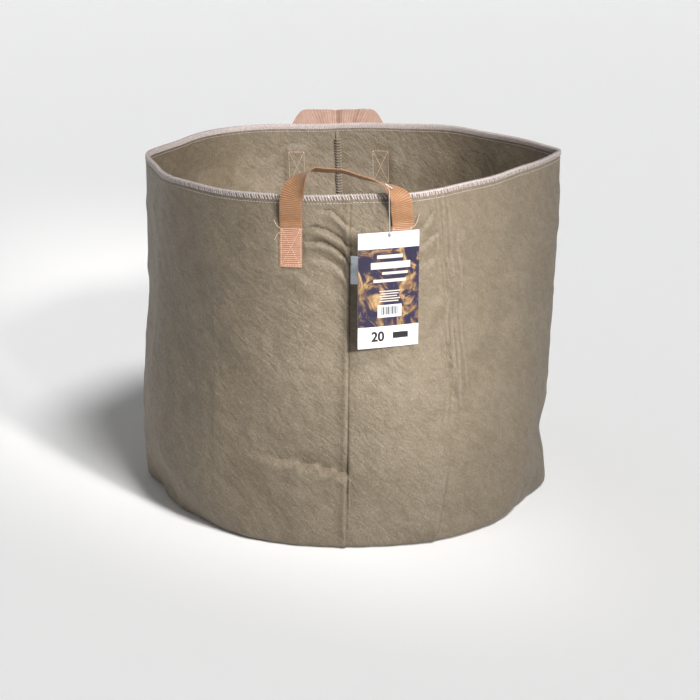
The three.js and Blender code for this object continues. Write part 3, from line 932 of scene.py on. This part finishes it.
def heading(run):
    # the way the wall runs at a strap's foot, as an angle clockwise from +x
    ahead = outline(np.array((run + handles["width"] / 2) / girth), np.array(handles["stitchLine"]))
    behind = outline(np.array((run - handles["width"] / 2) / girth), np.array(handles["stitchLine"]))
    return math.atan2(behind[1] - ahead[1], ahead[0] - behind[0])


def foot(name, out):
    return wallPoints(handles["feet"][name], handles["stitchLine"], out)


frontLoop = {
    # x, distance out from the line between the feet, height over the stitch line, in mm
    "crown": [(-60, -4, 19), (-59, -6, 34), (-55, -7, 45), (-45.5, -6, 57), (-35.5, -5, 63.5),
              (-22, -4, 62.5), (-4, -3, 61), (14, -3, 55.5), (35, -4, 49), (47, -6, 43),
              (58, -8, 32), (60.5, -5, 18)],
    "out": 1.6 * mm,
    "tilt": (math.radians(24), math.radians(13)),
}


def frontCurve():
    left = foot("front_handle_left", frontLoop["out"])
    right = foot("front_handle_right", frontLoop["out"])
    points = []
    for x, y, z in np.array(frontLoop["crown"]) * mm:
        share = (x - left[0]) / (right[0] - left[0])
        points.append((x, left[1] + (right[1] - left[1]) * share + y, handles["stitchLine"] + z))
    upright = np.array((0, 0, 5 * mm))
    return splineThrough([left, left + upright, *points, right + upright, right])


def frontFrame(curve, t):
    # centre, width and face directions of the front strap at t
    step = 0.004
    along = at(curve, min(t + step, 1)) - at(curve, max(t - step, 0))
    along /= np.linalg.norm(along)
    twistLeft = heading(handles["feet"]["front_handle_left"])
    twistRight = math.pi + heading(handles["feet"]["front_handle_right"])
    crown = math.pi / 2
    twist = twistLeft + (crown - twistLeft) * ease(t, 0.14, 0.42)
    twist += (twistRight - crown) * ease(t, 0.62, 0.88)
    tiltLeft, tiltRight = frontLoop["tilt"]
    tilt = tiltLeft + (tiltRight - tiltLeft) * t
    wide = np.array([math.cos(twist), -math.sin(twist) * math.cos(tilt), math.sin(twist) * math.sin(tilt)])
    wide -= along * wide.dot(along)
    wide /= np.linalg.norm(wide)
    return at(curve, t), wide, np.cross(along, wide)


def sweepStrap(name, frameAt, count, length):
    section = strapSection()
    rings = []
    for t in np.linspace(0, 1, count):
        centre, wide, face = frameAt(t)
        rings.append(centre + section[:, 0:1] * wide + section[:, 1:2] * face)
    return strapMesh(name, np.array(rings), np.linspace(0, length, count))


frontLine = frontCurve()
frontStrap = sweepStrap("frontHandle", lambda t: frontFrame(frontLine, t), 150, frontLine[1][-1])
# the front loop is coloured with the darker webbing copy that carries its painted shade
finishPiece(frontStrap, shadedLoopWebbing, None, ["front_handle_loop"])
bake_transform(frontStrap)
print("front handle made")

backLoop = {
    # how far the outer and inner edges lean in from their feet, and their height, in mm
    "outer": [(0, 0), (0, 4), (2, 18), (8.5, 35), (19.5, 51.5), (25.5, 54), (49.5, 54)],
    "inner": [(0, 0), (0, 4), (1.5, 14), (5, 23), (9.5, 28), (14.5, 29), (29.5, 29)],
    "lean": math.radians(20),
    "out": 2.5 * mm,
    # soft folds across the crown: (place along it, depth, width), in mm
    "folds": [(-3, 4.5, 5), (27, -2.6, 3.5), (-30, 1.2, 9)],
}


def backEdges():
    # outer and inner edge of the back strap, the direction of its face, and its frame
    left = foot("back_handle_left", backLoop["out"])
    right = foot("back_handle_right", backLoop["out"])
    half = np.linalg.norm(right - left) / 2
    toRight = (right - left) / (2 * half)
    lean = backLoop["lean"]
    aside = np.array((-toRight[1], toRight[0], 0))
    upward = aside * math.sin(lean) + np.array((0, 0, math.cos(lean)))
    edges = []
    for rows, reach in ((backLoop["outer"], handles["width"] / 2),
                        (backLoop["inner"], -handles["width"] / 2)):
        rising = [(inset * mm - half - reach, h * mm) for inset, h in rows]
        whole = rising + [(0, rising[-1][1])] + [(-x, h) for x, h in reversed(rising)]
        spots = [(left + right) / 2 + toRight * x + upward * h for x, h in whole]
        edges.append(splineThrough(spots, 12)[0])
    return edges[0], edges[1], np.cross(toRight, upward), toRight


outerEdge, innerEdge, backFace, backAlong = backEdges()


def backFrame(t):
    spot = t * (len(outerEdge) - 1)
    first = min(int(spot), len(outerEdge) - 2)
    outer = outerEdge[first] + (outerEdge[first + 1] - outerEdge[first]) * (spot - first)
    inner = innerEdge[first] + (innerEdge[first + 1] - innerEdge[first]) * (spot - first)
    centre = (outer + inner) / 2
    along = (centre - (outerEdge[0] + outerEdge[-1]) / 2).dot(backAlong) / mm
    crown = ease(t, 0.2, 0.35) * (1 - ease(t, 0.65, 0.8))
    for place, depth, width in backLoop["folds"]:
        centre = centre - backFace * depth * mm * hill(along - place, width) * crown
    return centre, (outer - inner) / handles["width"], backFace


backLength = np.linalg.norm(np.diff((outerEdge + innerEdge) / 2, axis=0), axis=1).sum()
backStrap = sweepStrap("backHandle", backFrame, 168, backLength)
# the back loop is coloured with the darker webbing copy that carries its painted shade
finishPiece(backStrap, shadedBackWebbing, None, ["back_handle_loop"])
backFootY = float(foot("back_handle_left", backLoop["out"])[1])
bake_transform(backStrap)
print("back handle made")


# side label
label = {
    "length": 38 * mm, "high": 31 * mm, "top": bag["height"] - 67 * mm,
    "out": 0.8 * mm, "bow": 0.9 * mm, "thick": 0.7 * mm,
}


def labelPiece():
    # tape folded double, caught in the seam and lying on the right panel
    columns, rows = 24, 16
    run = np.linspace(1 * mm, label["length"], columns)[:, None]
    z = np.linspace(label["top"], label["top"] - label["high"], rows)[None, :]
    # it comes out of the seam and bows a little off the felt
    bow = np.sin((run - 1 * mm) / label["length"] * math.pi) - hill(run, 3 * mm)
    spots = feltPoints(run, z, label["out"] + label["bow"] * bow)
    piece = meshPiece("seamLabel", spots, gridFaces(columns, rows))
    thicken(piece, label["thick"], offset=0)
    bevel = piece.modifiers.new("tapeEdge", 'BEVEL')
    bevel.width = 0.2 * mm
    bevel.segments = 2
    applyModifiers(piece)
    smooth(piece, 40)
    return piece


seamLabel = finishPiece(labelPiece(), tape, "bag", ["side_label"])


# hang tag and its pin
tag = {
    "width": 71 * mm, "height": 129 * mm, "card": 0.8 * mm, "yaw": math.radians(20), "holeDrop": 4 * mm,
    "hole": Vector((46.5 * mm, -245 * mm, bag["height"] - 41 * mm)), "holeRadius": 1.8 * mm,
    "artTop": 18 * mm, "artBottom": 105 * mm, "bow": 1.2 * mm, "bowDown": 0.8 * mm,
}


def tagPlace(x, z, out=0.0):
    # x across the card, z up from its hole, out towards the front; the card bows slightly
    bow = tag["bow"] * ((x / (tag["width"] / 2)) ** 2 - 0.3) + tag["bowDown"] * (z / tag["height"]) ** 2
    c, s = math.cos(tag["yaw"]), math.sin(tag["yaw"])
    depth = bow - out
    return (tag["hole"].x + x * c - depth * s, tag["hole"].y + x * s + depth * c, tag["hole"].z + z)


def bendToTag(piece):
    # the piece was modelled flat: x across, y back, z up from the hole
    for vertex in piece.data.vertices:
        x, y, z = vertex.co
        vertex.co = tagPlace(x, z, -y)
    piece.data.update()


def sliceAt(axis, where):
    # cuts everything in edit mode across x, y or z
    spot, normal = [0, 0, 0], [0, 0, 0]
    spot[axis], normal[axis] = where, 1
    bpy.ops.mesh.select_all(action='SELECT')
    bpy.ops.mesh.bisect(plane_co=spot, plane_no=normal)


def slabPiece(name, x0, x1, z0, z1, y0, y1, cellsX=1, cellsZ=1, bevel=0.0):
    # a flat plate made from a cube, cut into cells so that it can bend
    deselectAll()
    bpy.ops.mesh.primitive_cube_add(size=1, location=((x0 + x1) / 2, (y0 + y1) / 2, (z0 + z1) / 2))
    piece = bpy.context.object
    piece.name = name
    piece.scale = (x1 - x0, y1 - y0, z1 - z0)
    bpy.ops.object.transform_apply(location=True, rotation=True, scale=True)
    bpy.ops.object.mode_set(mode='EDIT')
    if bevel:
        bpy.ops.mesh.select_mode(type='EDGE')
        bpy.ops.mesh.select_all(action='DESELECT')
        bpy.ops.object.mode_set(mode='OBJECT')
        for edge in piece.data.edges:
            a, b = [piece.data.vertices[v].co for v in edge.vertices]
            edge.select = abs(a.x - b.x) < 1e-6 and abs(a.z - b.z) < 1e-6
        bpy.ops.object.mode_set(mode='EDIT')
        bpy.ops.mesh.bevel(offset=bevel, segments=5)
        bpy.ops.mesh.select_mode(type='VERT')
    for cells, axis, low, high in ((cellsX, 0, x0, x1), (cellsZ, 2, z0, z1)):
        for k in range(1, cells):
            sliceAt(axis, low + (high - low) * k / cells)
    bpy.ops.object.mode_set(mode='OBJECT')
    return piece


def tagCard():
    half, top = tag["width"] / 2, tag["holeDrop"]
    thick = tag["card"] / 2
    piece = slabPiece("hangTag", -half, half, top - tag["height"], top, -thick, thick, bevel=0.5 * mm)
    makeActive(piece)
    bpy.ops.object.mode_set(mode='EDIT')
    for x in np.linspace(-half, half, 13)[1:-1]:
        sliceAt(0, x)
    for drop in (9 * mm, tag["artTop"], 40 * mm, 60 * mm, 80 * mm, tag["artBottom"], 117 * mm):
        sliceAt(2, top - drop)
    bpy.ops.object.mode_set(mode='OBJECT')
    bpy.ops.mesh.primitive_cylinder_add(vertices=24, radius=tag["holeRadius"], depth=6 * mm,
                                        rotation=(math.pi / 2, 0, 0))
    punch = bpy.context.object
    makeActive(piece)
    cut = piece.modifiers.new("punchedHole", 'BOOLEAN')
    cut.object = punch
    cut.operation = 'DIFFERENCE'
    cut.solver = 'EXACT'
    bpy.ops.object.modifier_apply(modifier=cut.name)
    bpy.data.objects.remove(punch)
    piece.data.materials.clear()
    piece.data.materials.append(card)
    piece.data.materials.append(marbling)
    for face in piece.data.polygons:
        drop = top - face.center.z
        printed = tag["artTop"] < drop < tag["artBottom"] and face.normal.y < -0.9
        face.material_index = 1 if printed else 0
    bendToTag(piece)
    smooth(piece, 30)
    return piece


finishPiece(tagCard(), card, "tag_card", ["hang_tag"])


def tagPrint():
    # plain bars where the printed lines are, a white panel with upright bars, and the size number
    top = tag["holeDrop"]
    front = -tag["card"] / 2

    def bar(name, x0, x1, drop0, drop1, ink, level=1):
        piece = slabPiece(name, x0 * mm, x1 * mm, top - drop1 * mm, top - drop0 * mm,
                          front - (0.02 + 0.05 * level) * mm, front - 0.02 * mm,
                          cellsX=max(1, int((x1 - x0) / 6)))
        bendToTag(piece)
        finishPiece(piece, ink, "tag_card")

    bar("titleBar", -21, 25, 33, 40.5, creamInk)
    bar("titleBarUpper", -14, 16, 25, 29, creamInk)
    bar("titleBarLower", -8, 22, 44, 47, creamInk)
    bar("subtitleBar", -18, 20, 52, 55.5, creamInk)
    for k in range(5):
        bar(f"textLine{k}", -11 + 1.2 * (k % 2), 13 - 1.7 * (k % 3), 65 + 2.8 * k, 66.2 + 2.8 * k, creamInk)
    bar("barPanel", -13, 15, 81, 95, card)
    widths = [0.8, 1.3, 0.7, 1.0, 1.6, 0.7, 0.8, 1.4, 0.7, 1.1, 0.7]
    x = -8.5
    for k, wide in enumerate(widths):
        bar(f"uprightBar{k}", x, x + wide, 83, 92, blackInk, level=2)
        x += wide + 0.8
    bar("sizeUnitBar", 5, 23, 112.5, 119.5, blackInk)
    deselectAll()
    bpy.ops.object.text_add(rotation=(math.pi / 2, 0, 0))
    number = bpy.context.object
    number.name = "sizeNumber"
    number.data.body = "20"
    number.data.size = 15 * mm
    number.data.offset = 0.5 * mm
    number.data.extrude = 0.03 * mm
    bpy.ops.object.convert(target='MESH')
    number = bpy.context.object
    number.location = (-20 * mm, front - 0.04 * mm, top - 121.3 * mm)
    bpy.ops.object.transform_apply(location=True, rotation=True, scale=True)
    bendToTag(number)
    finishPiece(number, blackInk, "tag_card")


tagPrint()
print("hang tag made")


pin = {
    "hinge": Vector((46.5 * mm, -249.2 * mm, bag["height"] + 8 * mm)),
    "stem": 0.45 * mm, "bar": (1.0 * mm, 0.9 * mm), "stop": 1.6 * mm,
}


def joinTubes(name, first, second, body, nodes):
    (spots, faces), (more, moreFaces) = first, second
    faces = faces + [tuple(v + len(spots) for v in face) for face in moreFaces]
    piece = meshPiece(name, np.vstack([spots, more]), faces, closedNormals=True)
    smooth(piece, 60)
    finishPiece(piece, nylon, body, nodes)


def pinPieces():
    hinge = pin["hinge"]
    # the cross-bar lies on the strap, and its neck runs to the strap's front edge
    t = next(t for t in np.linspace(0.6, 0.9, 200) if at(frontLine, t)[0] > hinge.x - 1 * mm)
    centre, wide, face = frontFrame(frontLine, t)
    topFace = face if face[2] > 0 else -face
    onTop = centre + topFace * (handles["thick"] / 2 + 0.9 * mm) + wide * 2 * mm
    along = np.cross(wide, face)
    crossBar = tube([onTop + along * k * mm for k in (-4.5, -4, -2, 0, 2, 4, 4.5)], *pin["bar"], sides=10)
    neck = [onTop, onTop + wide * 4 * mm + topFace * 0.3 * mm, onTop + wide * 8.5 * mm + topFace * 0.2 * mm,
            np.array(hinge) + np.array((0, 0.6 * mm, 1.2 * mm)), np.array(hinge)]
    neck = tube(splineThrough(neck, 6)[0], pin["stem"], pin["stem"], sides=8, up=(1, 0, 0))
    joinTubes("pinCrossBar", crossBar, neck, "front_handle", [])

    hole = tag["hole"]
    c, s = math.cos(tag["yaw"]), math.sin(tag["yaw"])
    behind = Vector((hole.x - s * 1.6 * mm, hole.y + c * 1.6 * mm, hole.z))
    route = [hinge, hinge - Vector((0, 0, 12 * mm)), hole + Vector((0.6, -2.5, 14)) * mm,
             hole + Vector((0.8, -2.2, 3)) * mm, behind]
    stem = tube(splineThrough([tuple(spot) for spot in route], 10)[0], pin["stem"], pin["stem"], sides=8,
                up=(1, 0, 0))
    stop = [tuple(behind + Vector((-s, c, 0)) * k * mm) for k in (-0.4, 0.0, 0.5)]
    joinTubes("tagPin", stem, tube(stop, pin["stop"], pin["stop"], sides=12), "tag_pin", ["tag_fastener"])


pinPieces()


# tails left where the box stitches start: (along from the foot, up from the stitch line, out), in mm
threadTails = [
    ("front_handle_left", [(-11.5, -2, 2.6), (-14.5, 1, 3.4), (-17, 5, 3.0), (-18, 7.5, 4.2)]),
    ("front_handle_left", [(-12, -6, 2.4), (-15, -9, 1.6), (-17.5, -15, 1.2)]),
    ("front_handle_right", [(12, -3, 2.4), (15, -1, 2.8), (18, 4, 2.2), (21, 11, 1.4)]),
]


def looseThreads():
    for k, (name, tail) in enumerate(threadTails):
        start = handles["feet"][name]
        spots = [feltPoints(start + x * mm, handles["stitchLine"] + z * mm, out * mm) for x, z, out in tail]
        shape, faces = tube(splineThrough(spots, 8)[0], 0.35 * mm, 0.35 * mm)
        piece = meshPiece(f"threadTail{k}", shape, faces, closedNormals=True)
        smooth(piece, 60)
        finishPiece(piece, tanThread, "bag")


looseThreads()
print("pin and thread tails made")


# floor, light and camera
studio = {
    "radius": 14, "curve": 5, "wallTop": 12, "sides": 64,       # metres
    "sky": "#F7F8FA", "skyStrength": 0.1,
}


def makeFloor():
    # a wide floor that curves up into a low wall far behind everything
    radius, curve, sides = studio["radius"], studio["curve"], studio["sides"]
    profile = [(0.02, 0), (radius, 0)]
    for a in np.linspace(0, math.pi / 2, 9)[1:]:
        profile.append((radius + curve * math.sin(a), curve - curve * math.cos(a)))
    profile.append((radius + curve, studio["wallTop"]))
    turns = np.linspace(0, 2 * math.pi, sides, endpoint=False)
    spots = [[(r * math.cos(a), r * math.sin(a), z - 0.2 * mm) for r, z in profile] for a in turns]
    faces = [face[::-1] for face in gridFaces(sides, len(profile), wrapColumns=True)]
    piece = meshPiece("floor", spots, faces)
    disc = meshPiece("floorCentre", np.array([row[0] for row in spots]), [tuple(range(sides))])
    return piece, disc


for floor in makeFloor():
    floor.data.materials.append(floorMaterial())
    smooth(floor, 40)


lights = {
    "overhead": {"kind": 'SUN', "place": (1.0, -1.5, 2.7), "aim": (0, 0, 0), "power": 2.35,
                 "angle": 16, "color": "#FFFFFF"},
    "front": {"kind": 'SPOT', "place": (1.05, -1.75, 0.95), "aim": (0.055, -0.23, 0.23), "power": 290,
              "cone": 15.5, "soft": 0.16, "color": "#FFFBF7"},
    "inside": {"kind": 'SPOT', "place": (0.75, -1.9, 1.5), "aim": (-0.05, 0.27, 0.33), "power": 330,
               "cone": 14, "soft": 0.16, "color": "#FFF8F4"},
}
for name, light in lights.items():
    bpy.ops.object.light_add(type=light["kind"], location=light["place"])
    lamp = bpy.context.object
    lamp.name = name
    lamp.data.energy = light["power"]
    lamp.data.color = hexColor(light["color"])[:3]
    toAim = Vector(light["aim"]) - Vector(light["place"])
    lamp.rotation_euler = toAim.to_track_quat('-Z', 'Y').to_euler()
    if light["kind"] == 'SPOT':
        lamp.data.shadow_soft_size = light["soft"]
        lamp.data.spot_size = math.radians(light["cone"])
        lamp.data.spot_blend = 1.0
    else:
        lamp.data.angle = math.radians(light["angle"])
world = bpy.data.worlds.new("studio")
world.use_nodes = True
background = world.node_tree.nodes["Background"]
background.inputs["Color"].default_value = hexColor(studio["sky"])
background.inputs["Strength"].default_value = studio["skyStrength"]
bpy.context.scene.world = world
bpy.context.scene.view_settings.view_transform = 'Standard'

cameraFit = {"place": (4.3 * mm, -2301.6 * mm, 795.8 * mm), "pitch": math.radians(15.37), "lens": 99.75}
bpy.ops.object.camera_add(location=cameraFit["place"], rotation=(math.pi / 2 - cameraFit["pitch"], 0, 0))
camera = bpy.context.object
camera.data.lens = cameraFit["lens"]
camera.data.sensor_width = 36
camera.data.clip_end = 100
bpy.context.scene.camera = camera
print("stage set")
